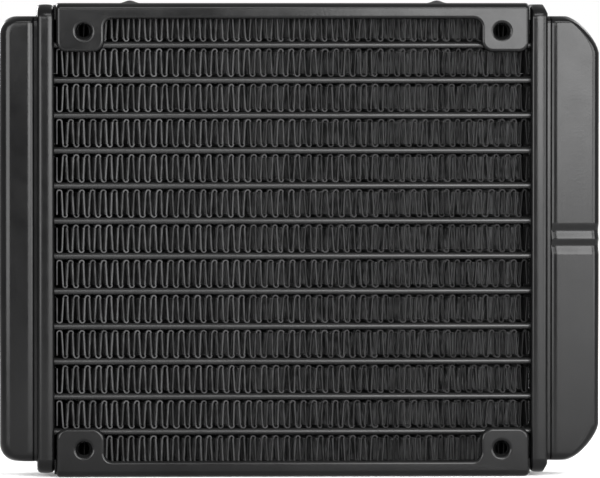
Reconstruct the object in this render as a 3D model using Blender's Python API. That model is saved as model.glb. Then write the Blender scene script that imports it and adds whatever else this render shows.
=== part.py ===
"""Brazed aluminium liquid-cooling radiator for one 120 mm fan.

Twelve flat tubes join two end tanks, with a corrugated fin strip in each space between
them. The wide tank on the right has both hose barbs and a baffle between them, so the
coolant runs across in the upper tubes and back in the lower ones. Two side channels
frame the core and carry the tapped fan holes, front and rear.

The radiator stands upright on its lower channel, with its front towards -Y and the wide
tank on +X. The origin is the centre of the lower channel's underside. Sizes in metres.
"""

from math import atan2, cos, pi, radians, sin, sqrt

import bmesh
import bpy
from mathutils import Matrix

MM = 0.001

# Clearance left wherever one piece seats on, or passes through, another
SEAT_GAP = 0.3 * MM

# Square pattern of the tapped fan holes, and the channel metal around each hole
FAN_HOLE_SPACING = 105.0 * MM
HOLE_TO_CHANNEL_END = 6.9 * MM
HOLE_TO_CHANNEL_FACE = 7.0 * MM
HOLE_TO_TAB_SIDE = 5.2 * MM
HOLE_TO_TAB_TIP = 5.3 * MM

# Side channels, bent from one sheet
CHANNEL_SHEET = 1.0 * MM
CHANNEL_BEND_RADIUS = 1.6 * MM
LIP_HEIGHT = 4.0 * MM
LIP_TO_FINS = 3.5 * MM
TAB_CORNER_RADIUS = 3.0 * MM
TAB_END_CORNER_RADIUS = 2.6 * MM
NOTCH_FILLET_RADIUS = 2.0 * MM

# Tapped hole: a sunk mouth in front and a drawn collar behind the sheet
FAN_HOLE_DIAMETER = 3.5 * MM
HOLE_MOUTH_DIAMETER = 5.4 * MM
HOLE_MOUTH_DEPTH = 0.6 * MM
COLLAR_DIAMETER = 5.9 * MM
COLLAR_LENGTH = 1.4 * MM

# Locating dimples pressed outwards in the upper channel
DIMPLE_POSITIONS = (-40.7 * MM, 36.9 * MM)
DIMPLE_DIAMETER = 5.4 * MM
DIMPLE_HEIGHT = 0.65 * MM

# Flat tubes, and how far the core sits above the middle of the channels
TUBE_COUNT = 12
TUBE_PITCH = 8.85 * MM
TUBE_THICKNESS = 1.7 * MM
TUBE_DEPTH = 18.0 * MM
TUBE_WALL = 0.35 * MM
TUBE_REACH_INTO_TANK = 1.5 * MM
CORE_RISE = 0.25 * MM

# Corrugated fin strips and the plates that close the core above and below
FIN_PITCH = 2.8 * MM
FIN_SHEET = 0.22 * MM
FIN_SETBACK = 0.3 * MM
FIN_END_GAP = 0.5 * MM
CORE_PLATE_EDGE = 0.8 * MM

# Header trays
CHANNEL_TO_HEADER = 0.5 * MM
HEADER_WIDTH = 4.3 * MM
HEADER_PLATE = 1.0 * MM
HEADER_RIM = 1.6 * MM
HEADER_END_WALL = 2.7 * MM
HEADER_INSET = 0.57 * MM
HEADER_CORNER_RADIUS = 3.6 * MM
HEADER_EDGE_BEVEL = 0.6 * MM
LEFT_HEADER_CHAMFER = (0.4 * MM, 0.9 * MM)
RIGHT_HEADER_CHAMFER = (1.2 * MM, 2.4 * MM)

# End tanks
TANK_WALL = 1.0 * MM
TANK_TO_TUBE_SIDE = 1.4 * MM
TANK_EDGE_RADIUS = 1.9 * MM
TANK_CORNER_RADIUS = 2.0 * MM
LEFT_TANK_REACH = 9.4 * MM
RIGHT_TANK_REACH = 13.05 * MM

# The curve that rounds a tank's two ends: its width, its height and how full it is
LEFT_TANK_END = (4.5 * MM, 4.5 * MM, 2.0)
RIGHT_TANK_END = (8.3 * MM, 9.2 * MM, 1.42)

# Joggle: the tank's rim is thinner than its body, and widens over this run
JOGGLE_DEPTH = 0.8 * MM
JOGGLE_START = 0.7 * MM
JOGGLE_END = 1.9 * MM

# Baffle in the wide tank, between two pressed grooves
GROOVE_SPACING = 3.9 * MM
GROOVE_DEPTH = 0.9 * MM
GROOVE_SIDE_DEPTH = 0.45 * MM
BAFFLE_THICKNESS = 1.0 * MM

# Hose barbs on the back of the wide tank
PORT_SPACING = 30.0 * MM
BARB_BORE = 6.2 * MM
BARB_STEM_DIAMETER = 8.0 * MM
BARB_RIDGE_DIAMETER = 9.4 * MM
BARB_RIDGE_COUNT = 2
BARB_NECK_LENGTH = 5.0 * MM
BARB_RIDGE_LENGTH = 3.6 * MM
BARB_TIP_LENGTH = 0.8 * MM
BARB_FLANGE_DIAMETER = 10.6 * MM
BARB_FLANGE_THICKNESS = 1.2 * MM

# Numbers of flat facets on round shapes
ARC_STEPS = 4
TANK_END_STEPS = 5
TANK_RIM_STEPS = 2
TAB_CORNER_STEPS = 3
HOLE_STEPS = 12
DIMPLE_STEPS = 8
BARB_STEPS = 14
TUBE_NOSE_STEPS = 3
SMOOTH_ANGLE = radians(35.0)
WELD_DISTANCE = 0.0001 * MM
CUT_MARGIN = 1.0 * MM

# Sizes that follow from the values above
CHANNEL_LENGTH = FAN_HOLE_SPACING + 2 * HOLE_TO_CHANNEL_END
CORE_HALF_LENGTH = CHANNEL_LENGTH / 2 + CHANNEL_TO_HEADER
FRAME_HALF_HEIGHT = FAN_HOLE_SPACING / 2 + HOLE_TO_CHANNEL_FACE
FIN_SPACE = TUBE_PITCH - TUBE_THICKNESS
CORE_HALF_HEIGHT = (TUBE_COUNT * TUBE_PITCH + FIN_SPACE) / 2
FIN_DEPTH = TUBE_DEPTH - 2 * FIN_SETBACK
TANK_HALF_DEPTH = TUBE_DEPTH / 2 + TANK_TO_TUBE_SIDE + TANK_WALL
RIM_HALF_DEPTH = TANK_HALF_DEPTH - JOGGLE_DEPTH
HEADER_HALF_DEPTH = RIM_HALF_DEPTH + SEAT_GAP + HEADER_RIM
HEADER_HALF_HEIGHT = FRAME_HALF_HEIGHT - HEADER_INSET
TANK_HALF_HEIGHT = HEADER_HALF_HEIGHT - HEADER_END_WALL - SEAT_GAP
TANK_SEAT_DEPTH = HEADER_WIDTH - HEADER_PLATE - SEAT_GAP
CHANNEL_HALF_DEPTH = TUBE_DEPTH / 2 + LIP_TO_FINS + CHANNEL_SHEET
HEADER_OUTER_X = CORE_HALF_LENGTH + HEADER_WIDTH


# ---------------------------------------------------------------- helpers

def clear_scene():
    """Remove whatever the scene holds."""
    for obj in list(bpy.data.objects):
        bpy.data.objects.remove(obj, do_unlink=True)


def make_material(name, color, roughness, metallic):
    """A Principled material of one colour."""
    material = bpy.data.materials.new(name)
    material.use_nodes = True
    shader = material.node_tree.nodes["Principled BSDF"]
    shader.inputs["Base Color"].default_value = (*color, 1.0)
    shader.inputs["Roughness"].default_value = roughness
    shader.inputs["Metallic"].default_value = metallic
    return material


def finish_mesh(bm, name):
    """Turn a bmesh into a mesh whose faces point outwards."""
    bmesh.ops.recalc_face_normals(bm, faces=bm.faces)
    mesh = bpy.data.meshes.new(name)
    bm.to_mesh(mesh)
    bm.free()
    mesh.shade_smooth()
    mesh.set_sharp_from_angle(angle=SMOOTH_ANGLE)
    return mesh


def add_object(name, mesh, parent, location=(0.0, 0.0, 0.0), rotation=(0.0, 0.0, 0.0)):
    """Place a mesh as a named object under its parent."""
    obj = bpy.data.objects.new(name, mesh)
    obj.parent = parent
    obj.location = location
    obj.rotation_euler = rotation
    bpy.context.scene.collection.objects.link(obj)
    return obj


def add_boolean(target, tool, operation):
    """Cut a tool body from the target, or join it on, and keep the tool out of the model."""
    modifier = target.modifiers.new(tool.name, 'BOOLEAN')
    modifier.operation = operation
    modifier.solver = 'EXACT'
    modifier.object = tool
    tool.hide_render = True
    tool.display_type = 'WIRE'


def arc(center, radius, start, end, steps):
    """Points on an arc from start to end degrees, both ends included."""
    angles = [radians(start + (end - start) * i / steps) for i in range(steps + 1)]
    return [(center[0] + radius * cos(a), center[1] + radius * sin(a)) for a in angles]


def rounded_rectangle(half_width, half_height, radius, steps=ARC_STEPS):
    """Outline of a rectangle with round corners, anticlockwise."""
    x = half_width - radius
    y = half_height - radius
    return (arc((x, -y), radius, -90, 0, steps) + arc((x, y), radius, 0, 90, steps)
            + arc((-x, y), radius, 90, 180, steps) + arc((-x, -y), radius, 180, 270, steps))


def flat_oval(depth, thickness):
    """Outline of a flat tube: two straight sides and two round noses."""
    radius = thickness / 2
    center = depth / 2 - radius
    return (arc((center, 0.0), radius, -90, 90, TUBE_NOSE_STEPS)
            + arc((-center, 0.0), radius, 90, 270, TUBE_NOSE_STEPS))


def add_prism(bm, points, direction):
    """Extrude a flat outline of 3-D points along a direction."""
    face = bm.faces.new([bm.verts.new(point) for point in points])
    grown = bmesh.ops.extrude_face_region(bm, geom=[face])["geom"]
    moved = [item for item in grown if isinstance(item, bmesh.types.BMVert)]
    bmesh.ops.translate(bm, verts=moved, vec=direction)


def add_loft(bm, rings):
    """Skin rings of equal point counts one after the other and cap both ends."""
    loops = [[bm.verts.new(point) for point in ring] for ring in rings]
    for low, high in zip(loops, loops[1:]):
        for i in range(len(low)):
            j = (i + 1) % len(low)
            bm.faces.new((low[i], low[j], high[j], high[i]))
    bm.faces.new(loops[0])
    bm.faces.new(loops[-1])


def add_turned(bm, profile, steps, place, closed):
    """Spin a profile of (radius, height) points round Z and put the body in place."""
    verts = [bm.verts.new((radius, 0.0, height)) for radius, height in profile]
    pairs = list(zip(verts, verts[1:]))
    if closed:
        pairs.append((verts[-1], verts[0]))
    edges = [bm.edges.new(pair) for pair in pairs]
    known = set(bm.verts) - set(verts)
    bmesh.ops.spin(bm, geom=verts + edges, cent=(0.0, 0.0, 0.0), axis=(0.0, 0.0, 1.0),
                   angle=2 * pi, steps=steps)
    body = [vert for vert in bm.verts if vert not in known]
    bmesh.ops.transform(bm, matrix=place, verts=body)
    bmesh.ops.remove_doubles(bm, verts=body, dist=WELD_DISTANCE)


def arc_inset(distance, radius):
    """How far a round edge has fallen in, at a distance from the end it rounds."""
    if distance >= radius:
        return 0.0
    return radius - sqrt(radius ** 2 - (radius - distance) ** 2)


# ---------------------------------------------------------------- core

def build_tube_mesh():
    """A flat tube, hollow from end to end, its length along X."""
    half_length = CORE_HALF_LENGTH + HEADER_PLATE + TUBE_REACH_INTO_TANK
    bm = bmesh.new()
    loops = []
    for inset in (0.0, TUBE_WALL):
        outline = flat_oval(TUBE_DEPTH - 2 * inset, TUBE_THICKNESS - 2 * inset)
        loops.append([bm.verts.new((-half_length, y, z)) for y, z in outline])
    outer, inner = loops
    for i in range(len(outer)):
        j = (i + 1) % len(outer)
        bm.faces.new((outer[i], outer[j], inner[j], inner[i]))
    grown = bmesh.ops.extrude_face_region(bm, geom=bm.faces[:])["geom"]
    moved = [item for item in grown if isinstance(item, bmesh.types.BMVert)]
    bmesh.ops.translate(bm, verts=moved, vec=(2 * half_length, 0.0, 0.0))
    return finish_mesh(bm, "flat_tube")


def build_fin_mesh():
    """A strip of sheet folded to and fro between two tubes, its length along X."""
    length = 2 * (CORE_HALF_LENGTH - FIN_END_GAP)
    height = FIN_SPACE - 2 * SEAT_GAP
    folds = 2 * round(length / FIN_PITCH)
    step = length / folds
    lean = atan2(step, height)
    fold_height = FIN_SHEET / sin(lean)
    swing = (height - fold_height) / 2
    middle = [(-length / 2 + i * step, swing * (-1) ** i) for i in range(folds + 1)]
    upper = [(x, -FIN_DEPTH / 2, z + fold_height / 2) for x, z in middle]
    lower = [(x, -FIN_DEPTH / 2, z - fold_height / 2) for x, z in middle]
    bm = bmesh.new()
    add_prism(bm, upper + lower[::-1], (0.0, FIN_DEPTH, 0.0))
    return finish_mesh(bm, "fin_strip")


def build_core(root, paint, fin_paint):
    """Tubes and fin strips in turn, closed by a plate below and above."""
    tube_mesh = build_tube_mesh()
    tube_mesh.materials.append(paint)
    fin_mesh = build_fin_mesh()
    fin_mesh.materials.append(fin_paint)
    for i in range(TUBE_COUNT):
        z = (i - (TUBE_COUNT - 1) / 2) * TUBE_PITCH
        add_object(f"tube_{i + 1:02d}", tube_mesh, root, (0.0, 0.0, z))
    for i in range(TUBE_COUNT + 1):
        z = (i - TUBE_COUNT / 2) * TUBE_PITCH
        add_object(f"fin_strip_{i + 1:02d}", fin_mesh, root, (0.0, 0.0, z))
    for name, side in (("lower_core_plate", -1), ("upper_core_plate", 1)):
        bm = bmesh.new()
        thickness = FRAME_HALF_HEIGHT - CHANNEL_SHEET - SEAT_GAP - CORE_HALF_HEIGHT - side * CORE_RISE
        outline = rounded_rectangle(CHANNEL_LENGTH / 2, TUBE_DEPTH / 2, CORE_PLATE_EDGE, 1)
        add_prism(bm, [(x, y, 0.0) for x, y in outline], (0.0, 0.0, side * thickness))
        mesh = finish_mesh(bm, name)
        mesh.materials.append(paint)
        add_object(name, mesh, root, (0.0, 0.0, side * CORE_HALF_HEIGHT))


# ---------------------------------------------------------------- headers

def build_header(name, root, side, chamfer, paint):
    """A pressed tray whose floor the tubes pass through; its inner face is at local x = 0."""
    bm = bmesh.new()
    outline = rounded_rectangle(HEADER_HALF_DEPTH, HEADER_HALF_HEIGHT, HEADER_CORNER_RADIUS)
    add_prism(bm, [(0.0, y, z) for y, z in outline], (HEADER_WIDTH, 0.0, 0.0))
    mesh = finish_mesh(bm, name)
    mesh.materials.append(paint)
    turn = 0.0 if side > 0 else pi
    header = add_object(name, mesh, root, (side * CORE_HALF_LENGTH, 0.0, 0.0), (0.0, 0.0, turn))
    bevel = header.modifiers.new("edge", 'BEVEL')
    bevel.width = HEADER_EDGE_BEVEL
    bevel.segments = 2
    bevel.angle_limit = radians(60.0)
    add_boolean(header, header_chamfers(name, header, *chamfer), 'DIFFERENCE')
    add_boolean(header, header_pocket(name, header), 'DIFFERENCE')
    add_boolean(header, header_slots(name, header), 'DIFFERENCE')


def header_chamfers(name, header, width, height):
    """Wedges that slope the two ends of the tray towards the tank."""
    bm = bmesh.new()
    for side in (-1, 1):
        corner = side * HEADER_HALF_HEIGHT
        outline = [(HEADER_WIDTH - width, corner),
                   (HEADER_WIDTH, corner - side * height),
                   (HEADER_WIDTH + CUT_MARGIN, corner - side * height),
                   (HEADER_WIDTH + CUT_MARGIN, corner + side * CUT_MARGIN),
                   (HEADER_WIDTH - width, corner + side * CUT_MARGIN)]
        y = HEADER_HALF_DEPTH + CUT_MARGIN
        add_prism(bm, [(x, -y, z) for x, z in outline], (0.0, 2 * y, 0.0))
    return add_object(name + "_chamfers", finish_mesh(bm, name + "_chamfers"), header)


def header_pocket(name, header):
    """The hollow that takes the rim of the tank."""
    outline = rounded_rectangle(RIM_HALF_DEPTH + SEAT_GAP, TANK_HALF_HEIGHT + SEAT_GAP,
                                TANK_CORNER_RADIUS, TANK_RIM_STEPS)
    bm = bmesh.new()
    add_prism(bm, [(HEADER_PLATE, y, z) for y, z in outline], (HEADER_WIDTH, 0.0, 0.0))
    return add_object(name + "_pocket", finish_mesh(bm, name + "_pocket"), header)


def header_slots(name, header):
    """One slot in the floor of the tray for each tube."""
    outline = flat_oval(TUBE_DEPTH + 2 * SEAT_GAP, TUBE_THICKNESS + 2 * SEAT_GAP)
    bm = bmesh.new()
    for i in range(TUBE_COUNT):
        rise = (i - (TUBE_COUNT - 1) / 2) * TUBE_PITCH
        add_prism(bm, [(-CUT_MARGIN, y, z + rise) for y, z in outline],
                  (HEADER_PLATE + 2 * CUT_MARGIN, 0.0, 0.0))
    return add_object(name + "_slots", finish_mesh(bm, name + "_slots"), header)


# ---------------------------------------------------------------- tanks

def groove_inset(z, depth):
    """Depth of the two V-shaped grooves at a height from the tank's middle."""
    from_groove = abs(abs(z) - GROOVE_SPACING / 2)
    return depth * max(0.0, 1.0 - from_groove / (GROOVE_SPACING / 2))


def end_inset(distance, width, height, fullness):
    """How far a tank's side has drawn in, at a distance from the tank's end."""
    along = 1.0 - min(distance / height, 1.0)
    return width * (1.0 - (1.0 - along ** fullness) ** (1.0 / fullness))


def rim_side(wall, rim, body):
    """The joggle as (x, y) points, from the rim's half depth to the body's."""
    if wall:
        return [(JOGGLE_START + wall, rim), (JOGGLE_END + wall, body)]
    return [(JOGGLE_START, rim), (0.8 * JOGGLE_START + 0.2 * JOGGLE_END, 0.35 * rim + 0.65 * body),
            (JOGGLE_END, body)]


def tank_rings(reach, end_curve, wall, steps, grooved):
    """Sections through a tank from its lower to its upper end, shrunk by a wall thickness."""
    half_height = TANK_HALF_HEIGHT - wall
    width, height, fullness = end_curve
    height -= wall
    width -= wall
    edge_radius = TANK_EDGE_RADIUS - wall
    near = -TANK_SEAT_DEPTH - (CUT_MARGIN if wall else 0.0)
    ends = [height * (1 - sin(pi / 2 * i / steps)) for i in range(steps, -1, -1)]
    heights = [half_height - end for end in ends]
    middle = [i * GROOVE_SPACING / 2 for i in range(-2, 3)] if grooved else []
    rings = []
    for z in [-height for height in heights] + middle + heights[::-1]:
        end = half_height - abs(z)
        far = reach - wall - end_inset(end, width, height, fullness)
        half_depth = TANK_HALF_DEPTH - wall - arc_inset(end, TANK_CORNER_RADIUS - wall)
        rim = half_depth - JOGGLE_DEPTH
        if grooved:
            far -= groove_inset(z, GROOVE_SIDE_DEPTH)
            half_depth -= groove_inset(z, GROOVE_DEPTH)
        x = far - edge_radius
        y = half_depth - edge_radius
        side = [(near, rim)] + rim_side(wall, rim, half_depth)
        outline = [(px, -py) for px, py in side] + arc((x, -y), edge_radius, -90, 0, steps - 1)
        outline += arc((x, y), edge_radius, 0, 90, steps - 1) + side[::-1]
        rings.append([(px, py, z) for px, py in outline])
    return rings


def build_tank(name, root, side, reach, end_curve, steps, grooved, paint):
    """A pressed cap that opens towards the header; local x = 0 is the header's outer edge."""
    bm = bmesh.new()
    add_loft(bm, tank_rings(reach, end_curve, 0.0, steps, grooved))
    mesh = finish_mesh(bm, name)
    mesh.materials.append(paint)
    turn = 0.0 if side > 0 else pi
    tank = add_object(name, mesh, root, (side * HEADER_OUTER_X, 0.0, 0.0), (0.0, 0.0, turn))
    bm = bmesh.new()
    add_loft(bm, tank_rings(reach, end_curve, TANK_WALL, steps - 1, grooved))
    cavity = add_object(name + "_cavity", finish_mesh(bm, name + "_cavity"), tank)
    add_boolean(tank, cavity, 'DIFFERENCE')
    return tank


def build_baffle(root, metal):
    """The plate that parts the wide tank in two, held between the pressed grooves."""
    edge = BAFFLE_THICKNESS / 2
    far = RIGHT_TANK_REACH - TANK_WALL - SEAT_GAP - groove_inset(edge, GROOVE_SIDE_DEPTH)
    half_depth = TANK_HALF_DEPTH - TANK_WALL - SEAT_GAP - groove_inset(edge, GROOVE_DEPTH)
    rim = RIM_HALF_DEPTH - TANK_WALL - SEAT_GAP
    radius = TANK_EDGE_RADIUS - TANK_WALL
    x = far - radius
    y = half_depth - radius
    side = [(-TANK_SEAT_DEPTH, rim)] + rim_side(TANK_WALL + SEAT_GAP, rim, half_depth)
    outline = [(px, -py) for px, py in side] + arc((x, -y), radius, -90, 0, TANK_RIM_STEPS)
    outline += arc((x, y), radius, 0, 90, TANK_RIM_STEPS) + side[::-1]
    bm = bmesh.new()
    add_prism(bm, [(px, py, -edge) for px, py in outline], (0.0, 0.0, BAFFLE_THICKNESS))
    mesh = finish_mesh(bm, "tank_baffle")
    mesh.materials.append(metal)
    add_object("tank_baffle", mesh, root, (HEADER_OUTER_X, 0.0, 0.0))


# ---------------------------------------------------------------- hose barbs

def port_x():
    """Middle of the flat part of the wide tank's back."""
    return HEADER_OUTER_X + (RIGHT_TANK_REACH - TANK_EDGE_RADIUS) / 2


def barb_profile():
    """Half section of a hose barb as (radius, height), height zero on the tank's back face."""
    bore = BARB_BORE / 2
    stem = BARB_STEM_DIAMETER / 2
    ridge = BARB_RIDGE_DIAMETER / 2
    flange = BARB_FLANGE_DIAMETER / 2
    shoulder = SEAT_GAP + BARB_FLANGE_THICKNESS
    points = [(bore, -TANK_WALL), (stem, -TANK_WALL), (stem, SEAT_GAP), (flange, SEAT_GAP),
              (flange, shoulder), (stem, shoulder)]
    for i in range(BARB_RIDGE_COUNT):
        ridge_foot = shoulder + BARB_NECK_LENGTH + i * BARB_RIDGE_LENGTH
        points += [(stem, ridge_foot), (ridge, ridge_foot), (stem, ridge_foot + BARB_RIDGE_LENGTH)]
    tip = points[-1][1] + BARB_TIP_LENGTH
    return points + [(stem, tip), (bore, tip)]


def build_ports(root, tank, metal):
    """Two hose barbs and the holes that their spigots pass through."""
    along_y = Matrix.Rotation(-pi / 2, 4, 'X')
    bm = bmesh.new()
    radius = BARB_STEM_DIAMETER / 2 + SEAT_GAP
    deep = TANK_WALL + CUT_MARGIN
    for side in (-1, 1):
        spot = Matrix.Translation((port_x(), TANK_HALF_DEPTH, side * PORT_SPACING / 2))
        hole = [(0.0, -deep), (radius, -deep), (radius, CUT_MARGIN), (0.0, CUT_MARGIN)]
        add_turned(bm, hole, BARB_STEPS, spot @ along_y, closed=False)
    add_boolean(tank, add_object("port_holes", finish_mesh(bm, "port_holes"), root), 'DIFFERENCE')

    bm = bmesh.new()
    add_turned(bm, barb_profile(), BARB_STEPS, along_y, closed=True)
    mesh = finish_mesh(bm, "hose_barb")
    mesh.materials.append(metal)
    for name, side in (("inlet_barb", 1), ("outlet_barb", -1)):
        spot = (port_x(), TANK_HALF_DEPTH, side * PORT_SPACING / 2)
        add_object(name, mesh, root, spot)


# ---------------------------------------------------------------- side channels

def channel_section():
    """Section of the channel in YZ: a web above and a deep lip at each side, bends rounded."""
    tip = FAN_HOLE_SPACING / 2 - HOLE_TO_TAB_TIP
    y = CHANNEL_HALF_DEPTH - CHANNEL_BEND_RADIUS
    z = FRAME_HALF_HEIGHT - CHANNEL_BEND_RADIUS
    inner = CHANNEL_BEND_RADIUS - CHANNEL_SHEET
    side = CHANNEL_HALF_DEPTH
    outer_line = ([(side, tip)] + arc((y, z), CHANNEL_BEND_RADIUS, 0, 90, ARC_STEPS)
                  + arc((-y, z), CHANNEL_BEND_RADIUS, 90, 180, ARC_STEPS) + [(-side, tip)])
    inner_line = ([(CHANNEL_SHEET - side, tip)] + arc((-y, z), inner, 180, 90, ARC_STEPS // 2)
                  + arc((y, z), inner, 90, 0, ARC_STEPS // 2) + [(side - CHANNEL_SHEET, tip)])
    return outer_line + inner_line


def notch_outline():
    """Outline in XZ of the metal taken out between two tabs, mirrored about the middle."""
    side = FAN_HOLE_SPACING / 2 - HOLE_TO_TAB_SIDE
    tip = FAN_HOLE_SPACING / 2 - HOLE_TO_TAB_TIP
    top = FRAME_HALF_HEIGHT - LIP_HEIGHT
    corner = TAB_CORNER_RADIUS
    fillet = NOTCH_FILLET_RADIUS
    right = [(side + corner, tip - CUT_MARGIN)]
    right += arc((side + corner, tip + corner), corner, 270, 180, TAB_CORNER_STEPS)
    right += arc((side - fillet, top - fillet), fillet, 0, 90, TAB_CORNER_STEPS)
    return right + [(-x, z) for x, z in reversed(right)]


def tab_end_outline(side):
    """Outline in XZ of the metal taken off the outer corner of the tabs at one end."""
    tip = FAN_HOLE_SPACING / 2 - HOLE_TO_TAB_TIP
    end = CHANNEL_LENGTH / 2
    corner = TAB_END_CORNER_RADIUS
    points = [(end - corner, tip - CUT_MARGIN)]
    points += arc((end - corner, tip + corner), corner, 270, 360, TAB_CORNER_STEPS)
    points += [(end + CUT_MARGIN, tip + corner), (end + CUT_MARGIN, tip - CUT_MARGIN)]
    return [(side * x, z) for x, z in points]


def channel_tools(name, channel):
    """Bodies that shape the channel: the notch, the drawn collars and the tapped holes."""
    bm = bmesh.new()
    depth = CHANNEL_HALF_DEPTH + CUT_MARGIN
    for outline in (notch_outline(), tab_end_outline(-1), tab_end_outline(1)):
        add_prism(bm, [(x, -depth, z) for x, z in outline], (0.0, 2 * depth, 0.0))
    notch = add_object(name + "_notch", finish_mesh(bm, name + "_notch"), channel)

    collars = bmesh.new()
    holes = bmesh.new()
    collar_radius = COLLAR_DIAMETER / 2
    collar = [(0.0, -CHANNEL_SHEET - COLLAR_LENGTH), (collar_radius, -CHANNEL_SHEET - COLLAR_LENGTH),
              (collar_radius, -CHANNEL_SHEET / 2), (0.0, -CHANNEL_SHEET / 2)]
    bottom = -CHANNEL_SHEET - COLLAR_LENGTH - CUT_MARGIN
    mouth_slope = (HOLE_MOUTH_DIAMETER - FAN_HOLE_DIAMETER) / 2 / HOLE_MOUTH_DEPTH
    mouth_above = HOLE_MOUTH_DIAMETER / 2 + CUT_MARGIN * mouth_slope
    hole = [(0.0, bottom), (FAN_HOLE_DIAMETER / 2, bottom), (FAN_HOLE_DIAMETER / 2, -HOLE_MOUTH_DEPTH),
            (mouth_above, CUT_MARGIN), (0.0, CUT_MARGIN)]
    for face in (-1, 1):
        turn = Matrix.Rotation(-face * pi / 2, 4, 'X')
        for side in (-1, 1):
            center = (side * FAN_HOLE_SPACING / 2, face * CHANNEL_HALF_DEPTH, FAN_HOLE_SPACING / 2)
            place = Matrix.Translation(center) @ turn
            add_turned(collars, collar, HOLE_STEPS, place, closed=False)
            add_turned(holes, hole, HOLE_STEPS, place, closed=False)
    collars = add_object(name + "_collars", finish_mesh(collars, name + "_collars"), channel)
    holes = add_object(name + "_holes", finish_mesh(holes, name + "_holes"), channel)
    return notch, collars, holes


def dimple_body(name, channel, height, sunk):
    """Low domes on the upper face, or the hollows under them when sunk by the sheet."""
    radius = DIMPLE_DIAMETER / 2
    base = FRAME_HALF_HEIGHT - sunk
    profile = [(0.0, height), (0.35 * radius, 0.9 * height), (0.65 * radius, 0.4 * height),
               (radius, 0.0), (radius, -CHANNEL_SHEET / 2), (0.0, -CHANNEL_SHEET / 2)]
    bm = bmesh.new()
    for x in DIMPLE_POSITIONS:
        add_turned(bm, profile, DIMPLE_STEPS, Matrix.Translation((x, 0.0, base)), closed=False)
    return add_object(name, finish_mesh(bm, name), channel)


def build_channel(name, root, side, dimpled, paint):
    """One side channel, modelled as the upper one; the lower one is turned over."""
    bm = bmesh.new()
    start = -CHANNEL_LENGTH / 2
    add_prism(bm, [(start, y, z) for y, z in channel_section()], (CHANNEL_LENGTH, 0.0, 0.0))
    mesh = finish_mesh(bm, name)
    mesh.materials.append(paint)
    turn = 0.0 if side > 0 else pi
    channel = add_object(name, mesh, root, (0.0, 0.0, -CORE_RISE), (0.0, turn, 0.0))
    notch, collars, holes = channel_tools(name, channel)
    add_boolean(channel, notch, 'DIFFERENCE')
    add_boolean(channel, collars, 'UNION')
    add_boolean(channel, holes, 'DIFFERENCE')
    if dimpled:
        domes = dimple_body(name + "_domes", channel, DIMPLE_HEIGHT, 0.0)
        add_boolean(channel, domes, 'UNION')
        hollows = dimple_body(name + "_hollows", channel, DIMPLE_HEIGHT, CHANNEL_SHEET)
        add_boolean(channel, hollows, 'DIFFERENCE')


# ---------------------------------------------------------------- assembly

def build_radiator():
    """Build every piece round the middle of the core."""
    clear_scene()
    paint = make_material("satin_black_paint", (0.022, 0.022, 0.024), 0.42, 0.0)
    fin_paint = make_material("fin_black_coating", (0.030, 0.030, 0.032), 0.50, 0.2)
    bare = make_material("bare_aluminium", (0.62, 0.62, 0.63), 0.38, 1.0)

    root = bpy.data.objects.new("radiator", None)
    root.location = (0.0, 0.0, FRAME_HALF_HEIGHT + CORE_RISE)
    bpy.context.scene.collection.objects.link(root)

    build_core(root, paint, fin_paint)
    build_header("left_header", root, -1, LEFT_HEADER_CHAMFER, paint)
    build_header("right_header", root, 1, RIGHT_HEADER_CHAMFER, paint)
    build_tank("left_tank", root, -1, LEFT_TANK_REACH, LEFT_TANK_END, ARC_STEPS, False, paint)
    right_tank = build_tank("right_tank", root, 1, RIGHT_TANK_REACH, RIGHT_TANK_END,
                            TANK_END_STEPS, True, paint)
    build_ports(root, right_tank, paint)
    build_baffle(root, bare)
    build_channel("upper_side_channel", root, 1, True, paint)
    build_channel("lower_side_channel", root, -1, False, paint)


build_radiator()
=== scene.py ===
import random
from math import cos, pi, radians, sin, sqrt

import bmesh
import bpy
from mathutils import Matrix, Vector


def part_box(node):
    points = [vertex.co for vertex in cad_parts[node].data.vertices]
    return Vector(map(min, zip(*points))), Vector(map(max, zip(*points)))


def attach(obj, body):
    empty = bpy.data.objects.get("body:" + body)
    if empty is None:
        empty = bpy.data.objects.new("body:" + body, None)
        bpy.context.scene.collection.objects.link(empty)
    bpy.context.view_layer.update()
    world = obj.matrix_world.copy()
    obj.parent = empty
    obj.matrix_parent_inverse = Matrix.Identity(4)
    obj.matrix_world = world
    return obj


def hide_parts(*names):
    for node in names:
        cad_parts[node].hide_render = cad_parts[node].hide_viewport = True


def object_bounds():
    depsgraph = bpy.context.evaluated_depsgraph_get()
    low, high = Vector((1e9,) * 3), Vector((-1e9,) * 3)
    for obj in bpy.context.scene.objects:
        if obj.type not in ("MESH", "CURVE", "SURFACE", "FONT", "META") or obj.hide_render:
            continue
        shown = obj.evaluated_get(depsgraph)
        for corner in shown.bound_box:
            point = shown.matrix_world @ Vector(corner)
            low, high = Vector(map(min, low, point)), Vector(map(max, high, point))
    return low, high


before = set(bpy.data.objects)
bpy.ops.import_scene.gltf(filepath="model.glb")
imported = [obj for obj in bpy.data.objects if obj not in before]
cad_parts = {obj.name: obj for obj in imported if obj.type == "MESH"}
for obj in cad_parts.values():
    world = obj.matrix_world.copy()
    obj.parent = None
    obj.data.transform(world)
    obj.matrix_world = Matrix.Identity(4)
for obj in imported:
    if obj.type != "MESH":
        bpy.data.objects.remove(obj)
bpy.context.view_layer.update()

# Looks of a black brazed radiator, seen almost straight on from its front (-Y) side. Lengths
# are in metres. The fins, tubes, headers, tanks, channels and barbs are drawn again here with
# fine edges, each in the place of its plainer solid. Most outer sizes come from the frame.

MM = 0.001
TUBE_COUNT = 12
FIN_STRIP_COUNT = 13

# ---------------------------------------------------------------- sizes

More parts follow.
